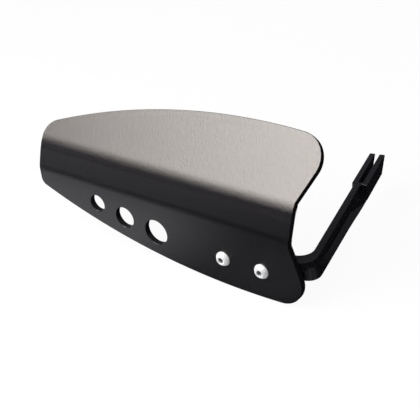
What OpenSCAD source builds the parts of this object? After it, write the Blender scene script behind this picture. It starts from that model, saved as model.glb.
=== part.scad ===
// Lever guard for a handlebar: a folded sheet guard plate, carried by a bent
// support arm that ends in an open fork. Two button-head screws hold them together.
// Row frame: origin in the middle of the fork's slot, X across the slot (outwards),
// Y along the arm away from the plate, Z up. Millimetres.

/* [Guard plate] */
// Sheet thickness of the plate
sheet_t = 4; // [3:0.5:5]
// Distance from the middle of the two screws to the left end of the lower panel
plate_left = 160.4; // [140:0.1:180]
// Distance from the middle of the two screws to the left end of the upper panel
plate_up_left = 158.2; // [138:0.1:178]
// Distance from the middle of the two screws to the right edge at the lower bend
plate_right = 32.6; // [28:0.1:36]
// Distance from the middle of the two screws to the notch in the right edge
notch_x = 34; // [29:0.1:38]
// Height of the notch above the upper bend line
notch_up = 3.2; // [2.6:0.1:3.8]
// Height of the lower bend line above the screws
low_bend_z = 25.5; // [20:0.1:30]
// Height of the middle panel, between the two bend lines
mid_h = 20.1; // [16:0.1:26]
// Turn of the sheet at the lower bend, in degrees
low_bend_deg = 13.4; // [8:0.2:20]
// Turn of the sheet at the upper bend, in degrees
up_bend_deg = 27.2; // [20:0.2:35]
// Radius of the front face at the lower bend
low_bend_r = 12; // [8:0.5:20]
// Radius of the front face at the upper bend
up_bend_r = 16; // [10:0.5:22]

/* [Guard plate outline] */
// Radius of the long arc along the bottom edge
bottom_arc_r = 437; // [380:1:500]
// Depth of the bottom edge below the screws, at its lowest point
bottom_depth = 18.5; // [17:0.1:24]
// Place of the bottom edge's lowest point, from the middle of the screws
bottom_low_x = 4.6; // [-10:0.1:15]
// Radius of the long arc along the top edge
top_arc_r = 416; // [350:1:450]
// Height of the upper panel at its highest point, above the upper bend line
upper_h = 43.4; // [36:0.1:48]
// Place of the top edge's highest point, from the middle of the screws
top_high_x = 2.8; // [-10:0.1:10]
// Radius of the round lobe at the upper right corner
lobe_r = 16; // [10:0.1:17]
// Place of the lobe's centre, from the middle of the screws
lobe_x = 24.9; // [20:0.1:27]
// Lean of the lower panel's right edge, in degrees
right_lean_deg = 19.6; // [10:0.1:25]
// Straight length of the right edge under the lower bend line
right_straight = 4.1; // [3:0.1:8]
// Corner radius at the lower right
low_right_r = 15; // [6:0.5:17]
// Corner radius at the upper left
up_left_r = 12; // [5:0.5:14]
// Corner radius at the lower left
low_left_r = 5.5; // [4:0.5:9]

/* [Lightening holes] */
// Radius of the smallest hole, at the inner end
hole_r = 5.8; // [4:0.1:7]
// Growth of the radius from one hole to the next
hole_step_r = 1.35; // [0.5:0.05:1.6]
// Distance from the middle of the screws to the smallest hole
hole_first_x = -111.4; // [-120:0.1:-105]
// Spacing from the smallest hole to the next
hole_pitch = 22.3; // [21:0.1:26]
// Growth of the spacing from one hole to the next
hole_pitch_grow = 2.7; // [0:0.1:4]
// Margin of sheet between a hole and the bottom edge
hole_margin = 7.3; // [6:0.1:9]

/* [Screws] */
// Distance between the two screws
screw_pitch = 27; // [24:0.5:30]
// Shank diameter of a screw
screw_d = 5; // [4:0.5:6]
// Head diameter of a screw
head_d = 9.5; // [8:0.1:10.5]
// Height of the domed head
head_h = 2.75; // [2:0.05:3.3]
// Width across flats of the hexagon socket
socket_af = 3; // [2.5:0.1:4]
// Depth of the hexagon socket
socket_depth = 1.6; // [1:0.1:1.8]

/* [Support arm] */
// Height of the arm and its fork
arm_h = 11; // [9:0.5:14]
// Thickness of the arm's upright web
web_t = 4.2; // [3:0.1:5]
// Width over web and foot at the elbow
foot_w = 6.9; // [6.5:0.1:7.5]
// Width over web and foot halfway along the arm
foot_mid_w = 7.4; // [7:0.1:8]
// Width over web and foot at the fork
foot_end_w = 8.3; // [8:0.1:8.4]
// Height of the upright toe at the foot's outer edge
toe_h = 0.8; // [0.5:0.1:1.5]
// Depth of the foot's shoulder below the arm's top, round the elbow
shoulder_near = 4.4; // [3:0.1:5]
// Depth of the foot's shoulder below the arm's top, along the arm
shoulder_far = 7.6; // [6:0.1:8]
// Length over which the web's outer wall leans out to the fork's root
flare_l = 27; // [20:1:35]
// Distance along the arm from the plate's rear face to the middle of the slot
arm_reach = 118.3; // [100:0.1:140]
// Angle between the tab and the arm, in degrees
arm_angle = 102; // [95:0.5:110]
// Place where the arm's inner face meets the plate's rear face, from the screws' middle
arm_start_x = 40.4; // [36:0.1:42]
// Radius inside the elbow
elbow_in_r = 9; // [6:0.5:11]
// Radius outside the elbow, at the web
elbow_web_r = 9.5; // [7:0.5:11]
// Radius outside the elbow, at the foot
elbow_foot_r = 8; // [6:0.5:10]

/* [Mounting tab] */
// Height of the tab behind the plate
tab_h = 21; // [18:0.1:22]
// Thickness of the tab
tab_t = 6; // [5:0.1:7]

/* [Fork] */
// Width of the slot between the tines
slot_w = 3; // [2.5:0.1:4]
// Thickness of a tine
tine_t = 3.6; // [3:0.1:4.5]
// Length of the slot from its closed end to the tips
slot_l = 40.4; // [34:0.2:46]
// Material between the slot's closed end and the inner step
root_l = 1.5; // [1.2:0.1:4]
// How far the inner tine stands out from the web
step_w = 1.7; // [1:0.1:2.5]
// How far the outer tine's root runs back along the arm at its outer corner
root_run = 2.8; // [1.5:0.1:6]
// Length that the slanted tips lose from top to bottom
tip_slant = 7; // [4:0.5:10]

/* [Clearances] */
// Radial clearance of a screw in the plate
plate_clear = 0.25; // [0.1:0.05:0.4]
// Radial clearance of a screw in the tab's threaded hole
thread_clear = 0.03; // [0.02:0.01:0.1]

/* [Hidden] */
$fn = 96;
eps = 0.01;
// Depth by which a cutter or a foot reaches past or into what it meets
lap = 0.15;
// Size of a cutter, larger than the whole plate
far = 300;
// Gap between the foot and the plate
foot_back = 0.1;
// Step by which the cutters at the two ends of the straight edge overlap
notch_lap = 0.4;
// Sheet left beyond the highest and lowest points, for the cutters
spare = 5;
// Number of chords along the left edge between the bends
side_n = 6;
// Number of chords in a corner's round and in a long arc
round_n = 12;
long_n = 40;

// Turn of the arm away from square to the plate
turn = arm_angle - 90;
// Length between a bend line and the tangent of its arc
low_tan = low_bend_r * tan(low_bend_deg / 2);
up_tan = up_bend_r * tan(up_bend_deg / 2);
// Height of the arm's middle above the screws
arm_mid_z = tab_h / 2 - arm_h / 2;
// Height of the upper bend line above the screws, and start of the upper panel's cutter
up_bend_z = low_bend_z + mid_h * cos(low_bend_deg);
cut_up = notch_up - 2 * notch_lap;
// Fork across the slot, symmetrical about the slot
fork_w = 2 * tine_t + slot_w;
web_in_x = -fork_w / 2 + step_w;
web_out_x = web_in_x + web_t;
// Place of the plate's own frame in plan
plate_xy = [web_in_x - arm_start_x * cos(turn), -arm_reach + arm_start_x * sin(turn)];
// Places along the arm
slot_end_y = -slot_l / 2;
step_y = slot_end_y - root_l;
screw_xs = [-screw_pitch / 2, screw_pitch / 2];
// Arcs of the outline: centres of the long arcs, in their own panels
bottom_c = [bottom_low_x, bottom_arc_r - bottom_depth];
top_c = [top_high_x, upper_h - top_arc_r];
lobe_dx = lobe_x - top_c[0];
lobe_c = [lobe_x, top_c[1] + sqrt(pow(top_arc_r - lobe_r, 2) - lobe_dx * lobe_dx)];

// Centre of a round of radius r inside an arc (centre c, radius big_r), beside the line x = edge
function round_center(c, big_r, edge, r, side) =
    [edge + r, c[1] + side * sqrt(pow(big_r - r, 2) - pow(edge + r - c[0], 2))];

// Distance along a line (point p, direction d) to the circle (centre c, radius r)
function line_to_circle(p, d, c, r) =
    let (q = p - c, b = q * d) -b + sqrt(b * b - q * q + r * r);

// Points of an arc round c, from angle a0 to a1, in n chords
function arc_points(c, r, a0, a1, n) =
    [for (i = [0:n]) let (a = a0 + (a1 - a0) * i / n) c + r * [cos(a), sin(a)]];

// Angle of the direction from c to p, between 0 and 360 degrees
function heading_of(c, p) = let (a = atan2(p[1] - c[1], p[0] - c[0])) a < 0 ? a + 360 : a;

// A point of the plate's own frame, brought into the row frame
function in_row(p) = plate_xy + [p[0] * cos(turn) + p[1] * sin(turn), p[1] * cos(turn) - p[0] * sin(turn)];

// Places the plate's own frame: X along the bends, Y back from its rear face, Z up,
// origin on the rear face in the middle of the two screws
module at_plate() {
    translate([plate_xy[0], plate_xy[1], -arm_mid_z])
        rotate([0, 0, -turn])
            children();
}

// Outline of the lower panel, x from the screws' middle and y from the screws' height
function lower_points() =
    let (lean_p = [plate_right, low_bend_z - right_straight],
         lean_dir = [sin(right_lean_deg), -cos(right_lean_deg)],
         inward = [-cos(right_lean_deg), -sin(right_lean_deg)],
         run = line_to_circle(lean_p + low_right_r * inward, lean_dir, bottom_c, bottom_arc_r - low_right_r),
         right_c = lean_p + low_right_r * inward + run * lean_dir,
         left_c = round_center(bottom_c, bottom_arc_r, -plate_left, low_left_r, -1),
         left_a = heading_of(bottom_c, left_c),
         right_a = heading_of(bottom_c, right_c))
    concat([[-plate_left - 1, low_bend_z], [-plate_left - 1, left_c[1]]],
           arc_points(left_c, low_left_r, 180, left_a, round_n),
           arc_points(bottom_c, bottom_arc_r, left_a, right_a, long_n),
           arc_points(right_c, low_right_r, right_a, 360 + right_lean_deg, round_n),
           [lean_p, [plate_right, low_bend_z]]);

// Outline of the upper panel, x from the screws' middle and y from the upper bend line
function upper_points() =
    let (notch = [notch_x, notch_up],
         to_lobe = lobe_c - notch,
         heading = atan2(to_lobe[1], to_lobe[0]) - asin(lobe_r / norm(to_lobe)),
         left_c = round_center(top_c, top_arc_r, -plate_up_left, up_left_r, 1),
         lobe_a = heading_of(top_c, lobe_c),
         left_a = heading_of(top_c, left_c))
    concat([[notch_x, cut_up - 1], notch],
           arc_points(lobe_c, lobe_r, heading - 90, lobe_a, 2 * round_n),
           arc_points(top_c, top_arc_r, lobe_a, left_a, long_n),
           arc_points(left_c, up_left_r, left_a, 180, round_n),
           [[-plate_up_left, cut_up - 1]]);

// Bent sheet across the whole length: section in y and z, drawn out along X
module bent_sheet() {
    upright = [0, 1];
    mid_dir = [sin(low_bend_deg), cos(low_bend_deg)];
    up_dir = [sin(low_bend_deg + up_bend_deg), cos(low_bend_deg + up_bend_deg)];
    low_p = [-sheet_t, low_bend_z];
    up_p = low_p + mid_h * mid_dir;
    low_c = low_p - low_tan * upright + low_bend_r * [1, 0];
    up_c = up_p - up_tan * mid_dir + up_bend_r * [mid_dir[1], -mid_dir[0]];
    low_end = 180 - low_bend_deg;
    up_end = low_end - up_bend_deg;
    top_front = up_p + (upper_h + spare) * up_dir;
    translate([-plate_left, 0, 0])
        rotate([90, 0, 90])
            linear_extrude(plate_left + plate_right + lobe_r)
                polygon(concat([[-sheet_t, -bottom_depth - spare]],
                               arc_points(low_c, low_bend_r, 180, low_end, 6),
                               arc_points(up_c, up_bend_r, low_end, up_end, 10),
                               [top_front, top_front + sheet_t * [up_dir[1], -up_dir[0]]],
                               arc_points(up_c, up_bend_r - sheet_t, up_end, low_end, 10),
                               arc_points(low_c, low_bend_r - sheet_t, low_end, 180, 6),
                               [[0, -bottom_depth - spare]]));
}

// Frame of the upper panel: origin on the front face's upper bend line
module at_upper_panel() {
    translate([0, -sheet_t + mid_h * sin(low_bend_deg), low_bend_z + mid_h * cos(low_bend_deg)])
        rotate([-low_bend_deg - up_bend_deg, 0, 0])
            children();
}

// Everything outside an outline, above or below the line y = edge, through the sheet
module outside(points, edge, side) {
    rotate([90, 0, 0])
        translate([0, 0, -sheet_t - lap])
            linear_extrude(sheet_t + 2 * lap)
                difference() {
                    translate([-far, side > 0 ? edge : edge - far]) square([2 * far, far]);
                    polygon(points);
                }
}

// Everything beyond the plate's two ends between the bends: a straight edge on the right that
// leans out to the notch, and a curved edge on the left that leans in to the upper panel
module beside_bends() {
    start_z = low_bend_z - right_straight + notch_lap;
    curve = [for (i = [0:side_n]) let (t = i / side_n)
        [-plate_left - eps + (plate_left - plate_up_left + eps) * t * t, start_z + (up_bend_z - start_z) * t]];
    intersection() {
        rotate([90, 0, 0])
            translate([0, 0, -far / 2])
                linear_extrude(far) {
                    polygon([[plate_right, start_z], [notch_x, up_bend_z], [notch_x, far], [far, far], [far, start_z]]);
                    polygon(concat(curve, [[-plate_up_left, far], [-far, far], [-far, start_z]]));
                }
        at_upper_panel()
            translate([-far, -far / 2, cut_up + notch_lap - far])
                cube([2 * far, far, far]);
    }
}

module guard_plate() {
    color([0.16, 0.16, 0.17])
        at_plate()
            difference() {
                bent_sheet();
                translate([0, -sheet_t, 0]) outside(lower_points(), low_bend_z - low_tan, -1);
                at_upper_panel() outside(upper_points(), cut_up, 1);
                beside_bends();
                for (i = [0:2])
                    lightening_hole(hole_first_x + i * hole_pitch + i * (i - 1) / 2 * hole_pitch_grow,
                                    hole_r + i * hole_step_r);
                for (x = screw_xs)
                    hole_at(x, 0, screw_d / 2 + plate_clear);
            }
}

// Lightening hole, at a fixed margin from the arc of the bottom edge
module lightening_hole(x, r) {
    reach = bottom_arc_r - hole_margin - r;
    hole_at(x, bottom_c[1] - sqrt(reach * reach - pow(x - bottom_low_x, 2)), r);
}

// Round through hole in the lower panel
module hole_at(x, z, r) {
    translate([x, 1, z])
        rotate([90, 0, 0])
            cylinder(h = sheet_t + 2, r = r);
}

// Plan of the arm: web from the tab round the elbow, then the fork's block with its inner
// step and its slanted outer root
module arm_plan() {
    out_p = [arm_start_x + web_t / cos(turn), 0];
    in_p = [arm_start_x - tab_t * tan(turn), tab_t];
    out_c = out_p + elbow_web_r * [-tan(arm_angle / 2), 1];
    in_c = in_p + elbow_in_r * [-tan(arm_angle / 2), 1];
    polygon(concat([for (p = concat([[0, 0]], arc_points(out_c, elbow_web_r, -90, turn, round_n))) in_row(p)],
                   [[web_out_x, step_y], [fork_w / 2, slot_end_y - root_run],
                    [fork_w / 2, slot_l / 2], [-fork_w / 2, slot_l / 2],
                    [-fork_w / 2, step_y], [web_in_x, step_y - step_w]],
                   [for (p = concat(arc_points(in_c, elbow_in_r, turn, -90, round_n), [[0, tab_t]])) in_row(p)]));
}

// Tab behind the plate: a bar with round ends
module tab() {
    half = screw_pitch / 2;
    rotate([-90, 0, 0])
        linear_extrude(tab_t)
            polygon(concat(arc_points([half, 0], tab_h / 2, -90, 90, 2 * round_n),
                           arc_points([-half, 0], tab_h / 2, 90, 270, 2 * round_n)));
}

// Stations of the foot along the arm: y, width, depth of the shoulder, lean of the wall (0 to 1)
foot_end_y = slot_end_y - root_l / 2;
flare_y = foot_end_y - flare_l;
foot_start_y = -arm_reach + foot_back / cos(turn) - foot_w * tan(turn) + elbow_foot_r * tan(arm_angle / 2);
foot_stations = [
    [foot_start_y + 12, foot_w + 0.1, 0.65, 0],
    [foot_start_y + 24, foot_w + 0.2, 0.95, 0],
    [-60, foot_mid_w, 1, 0],
    [flare_y, foot_mid_w + 0.3, 1, 0],
    [flare_y + 0.25 * flare_l, foot_end_w - 0.3, 1, 0.3],
    [flare_y + 0.5 * flare_l, foot_end_w - 0.1, 1, 0.58],
    [flare_y + 0.75 * flare_l, foot_end_w, 1, 0.92],
    [foot_end_y, foot_end_w, 1, 0.96]
];

// Section of the foot: six points, s out from the web's inner face and z up
function foot_section(width, drop, lean) =
    let (shoulder_z = arm_h / 2 - shoulder_near - drop * (shoulder_far - shoulder_near),
         toe_z = -arm_h / 2 + toe_h,
         wall_s = web_t - lap,
         s = wall_s + lean * (width - wall_s),
         z = shoulder_z + (toe_z - shoulder_z) * (s - web_t) / (width - web_t),
         rise = min(1, 4 * lean))
    [[web_t / 2, -arm_h / 2], [width, -arm_h / 2], [width, toe_z], [s, z],
     [wall_s - 1 + rise, z + lap + rise * (arm_h / 2 - 2 * lap - z)],
     [web_t / 2, z + lap + rise * (arm_h / 2 - 2 * lap - z)]];

// Ring of points round the elbow, at an angle, shifted by run towards the tab
function elbow_ring(a, run) =
    let (c = [web_in_x + foot_w - elbow_foot_r, foot_start_y])
    [for (q = foot_section(foot_w, 0, 0))
        let (r = elbow_foot_r - foot_w + q[0])
        [c[0] + r * cos(a) - run * cos(turn), c[1] + r * sin(a) + run * sin(turn), q[1]]];

// Ring of points across the arm
function straight_ring(station) =
    [for (q = foot_section(station[1], station[2], station[3])) [web_in_x + q[0], station[0], q[1]]];

// Foot round the elbow and along the arm: a skin over its rings of points
module foot() {
    rings = concat([elbow_ring(-arm_angle, 6)],
                   [for (i = [0:round_n]) elbow_ring(-arm_angle * (1 - i / round_n), 0)],
                   [for (station = foot_stations) straight_ring(station)]);
    m = len(rings[0]);
    last = len(rings) - 1;
    polyhedron(points = [for (ring = rings) for (q = ring) q],
               faces = concat([[for (j = [m - 1:-1:0]) j]],
                              [[for (j = [0:m - 1]) last * m + j]],
                              [for (i = [0:last - 1]) for (j = [0:m - 1])
                                  [i * m + j, i * m + (j + 1) % m, (i + 1) * m + j]],
                              [for (i = [0:last - 1]) for (j = [0:m - 1])
                                  [i * m + (j + 1) % m, (i + 1) * m + (j + 1) % m, (i + 1) * m + j]]));
}

// Slot between the tines, open at the tips, with a round closed end
module slot() {
    translate([0, 0, -arm_h])
        linear_extrude(2 * arm_h)
            polygon(concat(arc_points([0, slot_end_y + slot_w / 2], slot_w / 2, -180, 0, round_n),
                           [[slot_w / 2, slot_l], [-slot_w / 2, slot_l]]));
}

// Cutter under the slanted tips
module tip_cut() {
    rotate([90, 0, 90])
        translate([0, 0, -fork_w])
            linear_extrude(2 * fork_w)
                polygon([[slot_l / 2, arm_h / 2 - toe_h], [slot_l, arm_h / 2 - toe_h], [slot_l, -arm_h],
                         [slot_l / 2 - tip_slant, -arm_h], [slot_l / 2 - tip_slant, -arm_h / 2]]);
}

module support_arm() {
    color([0.13, 0.13, 0.14])
        difference() {
            union() {
                translate([0, 0, -arm_h / 2]) linear_extrude(arm_h) arm_plan();
                foot();
                at_plate() tab();
            }
            slot();
            tip_cut();
            at_plate()
                for (x = screw_xs)
                    translate([x, -1, 0])
                        rotate([-90, 0, 0])
                            cylinder(h = tab_t + 2, d = screw_d + 2 * thread_clear);
        }
}

// Button-head screw along -Z: its head seats on z = 0 and its shank runs to the tab's far face
module button_screw() {
    rim_h = 0.35;
    dome_h = head_h - rim_h;
    top_d = socket_af + 2.6;
    rise = (head_d * head_d - top_d * top_d) / 4;
    dome_drop = (rise - dome_h * dome_h) / (2 * dome_h);
    dome_r = sqrt(dome_drop * dome_drop + head_d * head_d / 4);
    color([0.8, 0.82, 0.86])
        difference() {
            union() {
                intersection() {
                    cylinder(h = head_h, d = head_d);
                    translate([0, 0, rim_h - dome_drop]) sphere(dome_r);
                }
                translate([0, 0, -sheet_t - tab_t])
                    cylinder(h = sheet_t + tab_t + eps, d = screw_d);
            }
            translate([0, 0, head_h - socket_depth])
                cylinder(h = head_h, d = socket_af / cos(30), $fn = 6);
        }
}

module screw_at(x) {
    at_plate()
        translate([x, -sheet_t, 0])
            rotate([90, 0, 0])
                button_screw();
}

module screw_left() screw_at(screw_xs[0]);

module screw_right() screw_at(screw_xs[1]);

guard_plate();
support_arm();
screw_left();
screw_right();
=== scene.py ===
"""Handlebar lever guard: a folded black guard plate, a bent support arm and two zinc screws."""

import math

import bmesh
import bpy
import numpy as np
from mathutils import Matrix, Vector
from mathutils.bvhtree import BVHTree


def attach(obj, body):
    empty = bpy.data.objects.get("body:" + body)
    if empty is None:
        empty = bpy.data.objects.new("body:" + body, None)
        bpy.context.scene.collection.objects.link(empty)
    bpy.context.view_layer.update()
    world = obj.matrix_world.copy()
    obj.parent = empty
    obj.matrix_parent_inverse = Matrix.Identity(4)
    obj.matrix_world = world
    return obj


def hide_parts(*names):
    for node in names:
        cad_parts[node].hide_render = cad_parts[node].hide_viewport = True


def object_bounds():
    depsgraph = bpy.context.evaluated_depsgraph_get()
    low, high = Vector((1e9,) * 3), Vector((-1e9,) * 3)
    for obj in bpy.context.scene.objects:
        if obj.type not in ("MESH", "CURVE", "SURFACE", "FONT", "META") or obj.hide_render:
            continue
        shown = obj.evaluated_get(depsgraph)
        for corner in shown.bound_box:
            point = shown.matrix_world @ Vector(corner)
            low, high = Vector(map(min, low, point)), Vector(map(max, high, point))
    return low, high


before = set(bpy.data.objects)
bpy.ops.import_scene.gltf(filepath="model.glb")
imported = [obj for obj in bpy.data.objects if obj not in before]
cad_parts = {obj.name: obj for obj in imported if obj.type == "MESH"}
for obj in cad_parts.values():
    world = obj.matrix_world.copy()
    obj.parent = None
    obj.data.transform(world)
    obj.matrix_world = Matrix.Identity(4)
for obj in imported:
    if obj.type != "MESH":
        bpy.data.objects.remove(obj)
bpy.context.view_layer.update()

# Plate's own frame: middle of the two screws on the plate's rear face, turned about Z
TURN = math.radians(12)
PLATE_TURN = np.array([[math.cos(TURN), math.sin(TURN), 0],
                       [-math.sin(TURN), math.cos(TURN), 0],
                       [0, 0, 1]])
PLATE_ORIGIN = np.array([-0.042917, -0.109900, -0.005000])
SHEET = 0.004
TAB = 0.006
SCREW_XS = {"screw_left": -0.0135, "screw_right": 0.0135}

# Shading of the plate's bends: height of the centre and radius of the front face of the arc over
# which directions turn, wider than the solid's bend; heights where faces are cut so that each arc
# has points to turn at; and the sheet's angle between and above the two bends
LOW_BEND = (0.02268, 0.024)
UP_BEND = (0.03003, 0.0279)
TURN_HEIGHTS = (0.0227, 0.0234, 0.0275, 0.0282, 0.0356, 0.0365, 0.0377, 0.0389, 0.0401, 0.0482)
MID_Z = 0.033
MID_ANGLE = math.radians(13.4)
UP_ANGLE = math.radians(40.6)

# Camera: place, right, up and back vectors, and focal length in pixels of a 420 pixel frame
CAMERA_AT = (0.143663, -0.517128, 0.296852)
CAMERA_RIGHT = (0.91011, 0.40560, -0.08480)
CAMERA_UP = (-0.14141, 0.49637, 0.85652)
CAMERA_BACK = (0.38949, -0.76753, 0.50911)
FOCAL_PX = 922.74
FRAME_PX = 420

# Rounding of edges: doubles closer than MERGE are one point, flat triangles are joined, points
# further off the surface than OFF_SURFACE times the width go back, and SLIVER is too short to keep
MERGE = 2e-5
FLAT_DEG = 0.3
OFF_SURFACE = 0.6
SLIVER = 3e-6

# A face of the plate belongs to its bent sheet when it points this near to the sheet's direction
ON_SHEET = math.cos(math.radians(9))

# Line on the floor below the plate's front face: front = PLATE_SLOPE x + PLATE_FRONT
PLATE_SLOPE = 0.2126
PLATE_FRONT = 0.1231

CAMERA_WHITE = 0.94
FLOOR_HALF = 6.0
FLOOR_GAP = 0.0005


def plate_to_row(points):
    """Turns points of the plate's frame about Z by -TURN and moves them to the plate's origin."""
    return points @ PLATE_TURN.T + PLATE_ORIGIN


def row_to_plate(points):
    """Undoes plate_to_row."""
    return (points - PLATE_ORIGIN) @ PLATE_TURN


# Shader expressions

class Value:
    """A socket of a shader tree; arithmetic on it adds Math nodes."""

    def __init__(self, shader, socket):
        self.shader = shader
        self.socket = socket

    def math(self, operation, *others):
        return self.shader.node("ShaderNodeMath", {"operation": operation},
                                {i: v for i, v in enumerate((self,) + others)})

    def __add__(self, other):
        return self.math("ADD", other)

    __radd__ = __add__

    def __mul__(self, other):
        return self.math("MULTIPLY", other)

    __rmul__ = __mul__

    def __sub__(self, other):
        return self.math("SUBTRACT", other)

    def __rsub__(self, other):
        return self.shader.node("ShaderNodeMath", {"operation": "SUBTRACT"}, {0: other, 1: self})

    def smooth(self, low, high):
        """0 below low, 1 above high, a smooth step between."""
        return self.shader.node("ShaderNodeMapRange", {"interpolation_type": "SMOOTHSTEP"},
                                {"Value": self, "From Min": low, "From Max": high})


class Shader:
    """A node tree with one method that adds any node."""

    def __init__(self, tree):
        self.tree = tree
        tree.nodes.clear()

    def node(self, kind, settings=None, inputs=None, output=0):
        made = self.tree.nodes.new(kind)
        for key, setting in (settings or {}).items():
            setattr(made, key, setting)
        for key, source in (inputs or {}).items():
            self.feed(made.inputs[key], source)
        return Value(self, made.outputs[output] if made.outputs else None)

    def feed(self, socket, source):
        """Links a value to a socket, or sets the socket's own number, vector or colour."""
        if isinstance(source, Value):
            self.tree.links.new(source.socket, socket)
        elif isinstance(source, tuple) and socket.type == "RGBA":
            socket.default_value = source + (1,)
        else:
            socket.default_value = source

    def split(self, vector):
        """The three numbers of a vector."""
        made = self.node("ShaderNodeSeparateXYZ", None, {"Vector": vector}).socket.node
        return [Value(self, socket) for socket in made.outputs]

    def ray_kinds(self):
        """1 on rays from the camera, and 1 on reflected rays."""
        outputs = self.node("ShaderNodeLightPath").socket.node.outputs
        return Value(self, outputs["Is Camera Ray"]), Value(self, outputs["Is Glossy Ray"])

    def dot(self, vector, direction):
        return self.node("ShaderNodeVectorMath", {"operation": "DOT_PRODUCT"},
                         {0: vector, 1: tuple(direction)}, output=1)

    def mix(self, factor, a, b):
        """Colour that goes from a to b as factor goes from 0 to 1."""
        made = self.tree.nodes.new("ShaderNodeMix")
        made.data_type = "RGBA"
        for index, source in ((0, factor), (6, a), (7, b)):
            self.feed(made.inputs[index], source)
        return Value(self, made.outputs[2])

    def noise(self, at, scale, detail=2.0, roughness=0.5):
        return self.node("ShaderNodeTexNoise", None,
                         {"Vector": at, "Scale": scale, "Detail": detail, "Roughness": roughness})

    def bump(self, height, strength, distance):
        return self.node("ShaderNodeBump", None,
                         {"Height": height, "Strength": strength, "Distance": distance})


def new_material(name):
    material = bpy.data.materials.new(name)
    material.use_nodes = True
    return material, Shader(material.node_tree)


def finish_surface(shader, inputs):
    surface = shader.node("ShaderNodeBsdfPrincipled", None, inputs)
    shader.node("ShaderNodeOutputMaterial", None, {"Surface": surface})


def coated_sheet_material():
    """Black powder coat with a fine grain: two scales of noise in height, a slight cloud in gloss."""
    material, shader = new_material("black_coated_sheet")
    at = shader.node("ShaderNodeTexCoord", output=3)
    grain = shader.noise(at, 1050, 3, 0.6)
    orange_peel = shader.noise(at, 480, 2, 0.5)
    cloud = shader.noise(at, 26, 3, 0.55)
    fleck = grain.smooth(0.42, 0.68)
    colour = shader.mix(fleck, (0.0030, 0.0028, 0.0036), (0.0064, 0.0060, 0.0068))
    height = grain * 0.7 + orange_peel * 0.3
    finish_surface(shader, {
        "Base Color": colour,
        "Roughness": 0.215 + 0.05 * cloud + 0.03 * grain,
        "Metallic": 0.0,
        "IOR": 1.5,
        "Normal": shader.bump(height, 0.5, 0.0003),
    })
    return material


def coated_arm_material():
    """Satin black coat on the arm, a little smoother than the sheet's and slightly violet."""
    material, shader = new_material("black_coated_arm")
    at = shader.node("ShaderNodeTexCoord", output=3)
    grain = shader.noise(at, 1700, 3, 0.6)
    cloud = shader.noise(at, 60, 3, 0.55)
    colour = shader.mix(grain.smooth(0.4, 0.7), (0.0040, 0.0037, 0.0052), (0.0080, 0.0075, 0.0100))
    finish_surface(shader, {
        "Base Color": colour,
        "Roughness": 0.22 + 0.06 * cloud + 0.03 * grain,
        "Metallic": 0.0,
        "IOR": 1.5,
        "Normal": shader.bump(grain, 0.14, 0.0001),
    })
    return material


def zinc_material(name, centre):
    """Bright zinc plating: faint turning rings round the screw's axis, small stains, and painted
    shade: the hex socket inside a radius of 1.4 to 1.9 mm is painted dark."""
    material, shader = new_material(name)
    at = shader.node("ShaderNodeTexCoord", output=3)
    local = shader.node("ShaderNodeMapping", {"vector_type": "TEXTURE"},
                        {"Vector": at, "Location": tuple(centre), "Rotation": (0, 0, -TURN)})
    x_part, _, z_part = shader.split(local)
    radius = (x_part * x_part + z_part * z_part).math("SQRT")
    wobble = shader.noise(at, 900, 2, 0.5)
    rings = (radius * 26000 + wobble * 1.5).math("SINE")
    stain = shader.noise(at, 380, 3, 0.6)
    colour = shader.mix(stain.smooth(0.45, 0.75), (0.93, 0.94, 0.95), (0.80, 0.82, 0.84))
    # Painted shade: the socket and its rim are coloured dark grey in place of the shade that falls in
    # the recess
    colour = shader.mix(radius.smooth(0.0014, 0.0019), (0.10, 0.11, 0.12), colour)
    finish_surface(shader, {
        "Base Color": colour,
        "Roughness": 0.30 + 0.12 * stain,
        "Metallic": 0.45,
        "Normal": shader.bump(rings * 0.5 + wobble, 0.06, 0.00003),
    })
    return material


# Pieces

def link_piece(name, mesh, material, node):
    """Puts a finished mesh in the scene in place of a CAD node."""
    piece = bpy.data.objects.new(name, mesh)
    bpy.context.scene.collection.objects.link(piece)
    mesh.materials.clear()
    mesh.materials.append(material)
    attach(piece, "root")
    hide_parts(node)
    return piece


def rounded_copy(node, width, limit_deg, cuts=()):
    """Copy of a CAD node: doubles merged, flat triangles joined, edges over limit_deg rounded.
    A point that the rounding throws off the surface goes back to the nearest place on it. Faces are
    cut at the plate heights in cuts."""
    bm = bmesh.new()
    bm.from_mesh(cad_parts[node].data)
    bmesh.ops.remove_doubles(bm, verts=bm.verts, dist=MERGE)
    bmesh.ops.dissolve_limit(bm, angle_limit=math.radians(FLAT_DEG), verts=bm.verts, edges=bm.edges)
    unrounded = BVHTree.FromBMesh(bm)
    sharp = [e for e in bm.edges if e.is_manifold and e.calc_face_angle() > math.radians(limit_deg)]
    bmesh.ops.bevel(bm, geom=sharp, offset=width, offset_type="OFFSET", segments=3, profile=0.5,
                    affect="EDGES", clamp_overlap=False)
    for vertex in bm.verts:
        nearest, _, _, gap = unrounded.find_nearest(vertex.co)
        if gap > width * OFF_SURFACE:
            vertex.co = nearest
    for height in cuts:
        bmesh.ops.bisect_plane(bm, geom=bm.verts[:] + bm.edges[:] + bm.faces[:], dist=1e-6,
                               plane_co=(0, 0, height + PLATE_ORIGIN[2]), plane_no=(0, 0, 1))
    bmesh.ops.dissolve_degenerate(bm, dist=SLIVER, edges=bm.edges)
    bmesh.ops.remove_doubles(bm, verts=bm.verts, dist=SLIVER)
    for face in bm.faces:
        face.smooth = True
    mesh = bpy.data.meshes.new(node + "_rounded")
    bm.to_mesh(mesh)
    bm.free()
    return mesh


def read_array(collection, key, width, kind=float):
    """Values of one attribute of a mesh's vertices, faces or corners, as an array."""
    values = np.empty(len(collection) * width, kind)
    collection.foreach_get(key, values)
    return values.reshape(-1, width) if width > 1 else values


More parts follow.
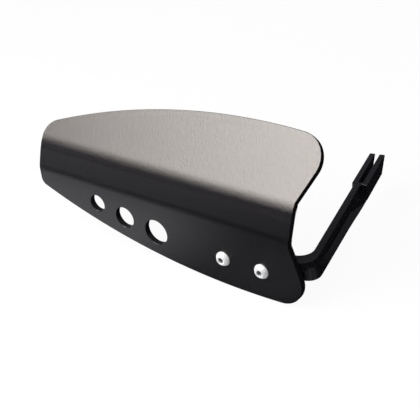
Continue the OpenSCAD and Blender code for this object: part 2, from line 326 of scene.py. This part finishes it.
def area_normals(mesh):
    """Direction at each vertex: the sum of its faces' directions times their areas, so that a flat
    face stays flat up to its rounded edges. Also the face and the vertex of each corner."""
    face_of = np.repeat(np.arange(len(mesh.polygons)), read_array(mesh.polygons, "loop_total", 1, int))
    vertex_of = read_array(mesh.loops, "vertex_index", 1, int)
    weighted = read_array(mesh.polygons, "normal", 3) * read_array(mesh.polygons, "area", 1)[:, None]
    total = np.zeros((len(mesh.vertices), 3))
    np.add.at(total, vertex_of, weighted[face_of])
    length = np.linalg.norm(total, axis=1, keepdims=True)
    return total / np.maximum(length, 1e-12), face_of, vertex_of


def sheet_angle(z, inset):
    """Angle e of the sheet's face at height z. In a bend, sin e = (z - centre) / (radius - inset)."""
    lower = np.clip((z - LOW_BEND[0]) / (LOW_BEND[1] - inset), 0, math.sin(MID_ANGLE))
    upper = np.clip((z - UP_BEND[0]) / (UP_BEND[1] - inset), math.sin(MID_ANGLE), math.sin(UP_ANGLE))
    return np.arcsin(np.where(z < MID_Z, lower, upper))


def sheet_direction(z, facing):
    """Outward direction of the front (facing -1) or rear face (facing 1) of the sheet at height z."""
    e = sheet_angle(z, np.where(facing > 0, SHEET, 0.0))
    return np.stack([np.zeros_like(e), facing * np.cos(e), -facing * np.sin(e)], -1)


def rounded_arm_mesh():
    """Support arm with rounded edges and directions by area."""
    mesh = rounded_copy("support_arm", 0.0003, 25)
    mesh.normals_split_custom_set_from_vertices(area_normals(mesh)[0].tolist())
    return mesh


def rounded_plate_mesh():
    """Guard plate with rounded edges. The two faces of the bent sheet get directions that turn over
    wider arcs than the solid's bends; the rest gets directions by area."""
    mesh = rounded_copy("guard_plate", 0.0004, 35, TURN_HEIGHTS)
    directions, face_of, vertex_of = area_normals(mesh)
    face_normals = read_array(mesh.polygons, "normal", 3) @ PLATE_TURN
    facing = np.sign(face_normals[:, 1])
    face_heights = row_to_plate(read_array(mesh.polygons, "center", 3))[:, 2]
    wanted = sheet_direction(face_heights, facing)
    on_sheet = (face_normals * wanted).sum(1) > ON_SHEET
    facing_at = np.zeros(len(mesh.vertices))
    chosen = on_sheet[face_of]
    facing_at[vertex_of[chosen]] = facing[face_of[chosen]]
    heights = row_to_plate(read_array(mesh.vertices, "co", 3))[:, 2]
    arc_directions = sheet_direction(heights, facing_at) @ PLATE_TURN.T
    directions[facing_at != 0] = arc_directions[facing_at != 0]
    mesh.normals_split_custom_set_from_vertices(directions.tolist())
    return mesh


def skin(rings):
    """Closed mesh over an (m, n, 3) array of rings, with a point in the middle of each end."""
    m, n = rings.shape[:2]
    points = np.concatenate([rings.reshape(-1, 3), rings[0].mean(0)[None], rings[-1].mean(0)[None]])
    row, col = np.meshgrid(np.arange(m - 1), np.arange(n), indexing="ij")
    nxt = (col + 1) % n
    quads = np.stack([row * n + col, row * n + nxt, (row + 1) * n + nxt, (row + 1) * n + col], -1)
    side = np.arange(n)
    nxt_side = (side + 1) % n
    first = np.stack([nxt_side, side, np.full(n, m * n)], -1)
    last = np.stack([(m - 1) * n + side, (m - 1) * n + nxt_side, np.full(n, m * n + 1)], -1)
    mesh = bpy.data.meshes.new("skin")
    faces = quads.reshape(-1, 4).tolist() + first.tolist() + last.tolist()
    mesh.from_pydata(points.tolist(), [], faces)
    bm = bmesh.new()
    bm.from_mesh(mesh)
    bmesh.ops.remove_doubles(bm, verts=bm.verts, dist=1e-7)
    bmesh.ops.recalc_face_normals(bm, faces=bm.faces)
    bm.to_mesh(mesh)
    bm.free()
    mesh.polygons.foreach_set("use_smooth", np.ones(len(mesh.polygons), bool))
    mesh.set_sharp_from_angle(angle=math.radians(32))
    return mesh


def button_screw_mesh(x_at):
    """M5 button-head screw: rings of radius r(a, z) from the socket's floor over the dome to the
    thread's end. The socket is a hexagon, r = half across flats / cos(angle to the flat's middle);
    the thread's radius is a triangle wave of z / pitch - a / 2 pi."""
    n = 96
    a = np.linspace(0, 2 * np.pi, n, endpoint=False)
    half_flats = 0.0015
    from_flat = (a + np.pi / 6) % (np.pi / 3) - np.pi / 6
    hexagon = half_flats / np.cos(from_flat)
    head_r, head_h, rim_h, top_r = 0.00475, 0.00275, 0.00035, 0.0028
    dome_h = head_h - rim_h
    drop = (head_r ** 2 - top_r ** 2 - dome_h ** 2) / (2 * dome_h)
    dome_r = math.hypot(drop, head_r)
    ring = np.ones(n)
    rows = [(0.0006 * ring, head_h - 0.00185), (0.96 * hexagon, head_h - 0.00162),
            (hexagon, head_h - 0.0015), (hexagon, head_h - 0.00022),
            (0.00185 * ring, head_h - 0.00002), (0.0019 * ring, head_h)]
    top_a = math.asin(top_r / dome_r)
    rim_a = math.asin(head_r / dome_r)
    rows.append(((top_r - 0.00012) * ring, head_h))
    for t in np.linspace(top_a, rim_a, 12):
        rows.append((dome_r * math.sin(t) * ring, rim_h - drop + dome_r * math.cos(t)))
    rows += [(head_r * ring, 0.0001), ((head_r - 0.0001) * ring, 0.0), (0.0026 * ring, 0.0)]
    pitch, thread_root, thread_rise, tip_r, tip_slope = 0.0008, 0.00206, 0.00042, 0.00188, 0.8
    length = SHEET + TAB
    for z in np.linspace(0.00005, length, 110):
        wave = np.abs((z / pitch - a / (2 * np.pi)) % 1 - 0.5) * 2
        r = thread_root + thread_rise * np.clip(wave * 1.25 - 0.1, 0, 1)
        rows.append((np.minimum(r, tip_r + (length - z) * tip_slope), -z))
    rings = np.stack([np.stack([r * np.cos(a), -np.full(n, z), r * np.sin(a)], -1) for r, z in rows])
    rings[..., 0] += x_at
    rings[..., 1] -= SHEET
    return skin(plate_to_row(rings))


link_piece("guard_plate_coated", rounded_plate_mesh(), coated_sheet_material(),
           "guard_plate")
link_piece("support_arm_coated", rounded_arm_mesh(), coated_arm_material(),
           "support_arm")
for screw_name, screw_x in SCREW_XS.items():
    seat = plate_to_row(np.array([screw_x, -SHEET, 0.0]))
    link_piece(screw_name + "_zinc", button_screw_mesh(screw_x),
               zinc_material(screw_name + "_zinc", seat), screw_name)


# Stage, world, lights and camera

def stage_material():
    """White floor with a soft shadow. Reflections see a dark floor with three lit cards on it: one
    close in front of the plate towards its left end, one further out in front that brightens to
    the left, and one behind."""
    material, shader = new_material("white_floor")
    camera_ray, glossy_ray = shader.ray_kinds()
    at = shader.node("ShaderNodeTexCoord", output=3)
    along, across, _ = shader.split(at)
    left = along * -1.0
    front = across * -1.0
    from_plate = front - along * PLATE_SLOPE - PLATE_FRONT
    near_card = ((left.smooth(0.07, 0.18) * 1.1 + 0.2) * (1.0 - from_plate.smooth(0.035, 0.09))
                 * from_plate.smooth(-0.01, 0.01) * left.smooth(0.0, 0.03))
    far_card = ((left.smooth(0.15, 0.50) * 0.68 + left.smooth(0.22, 0.30) * 0.15)
                * from_plate.smooth(0.14, 0.28))
    back_card = across.smooth(-0.05, 0.04) * left.smooth(0.02, 0.06) * 0.8
    card = shader.mix(near_card + far_card + back_card, (0.012, 0.012, 0.014), (1.0, 0.98, 1.03))
    white = shader.node("ShaderNodeBsdfDiffuse", None, {"Color": (0.86, 0.86, 0.86)})
    glow = shader.node("ShaderNodeEmission", None, {"Color": (1.0, 1.0, 1.0), "Strength": 1.0})
    mirrored = shader.node("ShaderNodeEmission", None, {"Color": card, "Strength": 1.0})
    seen = shader.node("ShaderNodeMixShader", None, {0: camera_ray * CAMERA_WHITE, 1: white, 2: glow})
    seen = shader.node("ShaderNodeMixShader", None, {0: glossy_ray, 1: seen, 2: mirrored})
    shader.node("ShaderNodeOutputMaterial", None, {"Surface": seen})
    return material


def make_stage():
    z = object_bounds()[0][2] - FLOOR_GAP
    h = FLOOR_HALF
    mesh = bpy.data.meshes.new("floor")
    mesh.from_pydata([(-h, -h, z), (h, -h, z), (h, h, z), (-h, h, z)], [], [(0, 1, 2, 3)])
    floor = bpy.data.objects.new("floor", mesh)
    bpy.context.scene.collection.objects.link(floor)
    mesh.materials.append(stage_material())


def make_world():
    """White to the camera. Reflections see a dark tent that is greyer above and behind, grey in
    front to the right, dark again round the camera, and one bright soft patch above the left
    front. Everything else is lit by an even grey."""
    world = bpy.data.worlds.new("tent")
    world.use_nodes = True
    bpy.context.scene.world = world
    shader = Shader(world.node_tree)
    camera_ray, glossy_ray = shader.ray_kinds()
    at = shader.node("ShaderNodeTexCoord", output=0)
    toward_camera = Vector((0.73, -0.47, 0.50)).normalized()
    camera_patch = shader.dot(at, toward_camera).smooth(0.90, 0.97)
    right, back, up = shader.split(at)
    behind = back.smooth(-0.1, 0.4) * up.smooth(0.12, 0.36)
    front_right = (right + back * 0.3).smooth(-0.05, 0.25) * (back * -1.0).smooth(0.0, 0.3)
    tent = shader.mix(up.smooth(0.0, 0.8), (0.05, 0.05, 0.055), (0.12, 0.12, 0.125))
    tent = shader.mix(behind, tent, (0.16, 0.155, 0.175))
    tent = shader.mix(front_right, tent, (0.45, 0.45, 0.46))
    tent = shader.mix(camera_patch, tent, (0.06, 0.06, 0.06))
    toward_softbox = Vector((-0.500, -0.478, 0.722)).normalized()
    off_softbox = shader.dot(at, toward_softbox).math("ARCCOSINE")
    softbox = 1.0 - off_softbox.smooth(0.0, math.radians(31))
    tent = shader.mix(softbox, tent, (21.6, 20.3, 19.1))
    soft, mirrored, white = [
        shader.node("ShaderNodeBackground", None, {"Color": colour, "Strength": 1.0})
        for colour in ((0.32, 0.32, 0.33), tent, (1.0, 1.0, 1.0))]
    seen = shader.node("ShaderNodeMixShader", None, {0: glossy_ray, 1: soft, 2: mirrored})
    seen = shader.node("ShaderNodeMixShader", None, {0: camera_ray, 1: seen, 2: white})
    shader.node("ShaderNodeOutputWorld", None, {"Surface": seen})


def add_softbox(name, azimuth, elevation, distance, size, radiance, colour, target=(-0.08, -0.09, 0.03)):
    """Area light of a stated radiance, turned to the object and unseen by reflections. Azimuth 0 is
    the -Y side."""
    data = bpy.data.lights.new(name, "AREA")
    data.shape = "RECTANGLE"
    data.size, data.size_y = size
    data.energy = radiance * math.pi * size[0] * size[1]
    data.color = colour
    light = bpy.data.objects.new(name, data)
    bpy.context.scene.collection.objects.link(light)
    a, e = math.radians(azimuth), math.radians(elevation)
    back = Vector((math.sin(a) * math.cos(e), -math.cos(a) * math.cos(e), math.sin(e)))
    light.location = Vector(target) + distance * back
    light.rotation_euler = back.to_track_quat("Z", "Y").to_euler()
    light.visible_glossy = False


def make_camera():
    data = bpy.data.cameras.new("camera")
    data.sensor_width = 36
    data.lens = FOCAL_PX * data.sensor_width / FRAME_PX
    data.clip_start = 0.01
    camera = bpy.data.objects.new("camera", data)
    bpy.context.scene.collection.objects.link(camera)
    turn = Matrix((CAMERA_RIGHT, CAMERA_UP, CAMERA_BACK)).transposed().to_4x4()
    camera.matrix_world = Matrix.Translation(CAMERA_AT) @ turn
    bpy.context.scene.camera = camera


make_stage()
make_world()
add_softbox("softbox_left", -46, 46, 1.1, (0.72, 0.7), 9.0, (1.0, 0.97, 0.95))
add_softbox("softbox_front", -25, 22, 1.2, (0.8, 0.7), 3.0, (1.0, 1.0, 1.0))
add_softbox("softbox_top", 60, 75, 1.3, (0.8, 0.8), 0.8, (1.0, 1.0, 1.0))
make_camera()
bpy.context.scene.view_settings.view_transform = "Standard"
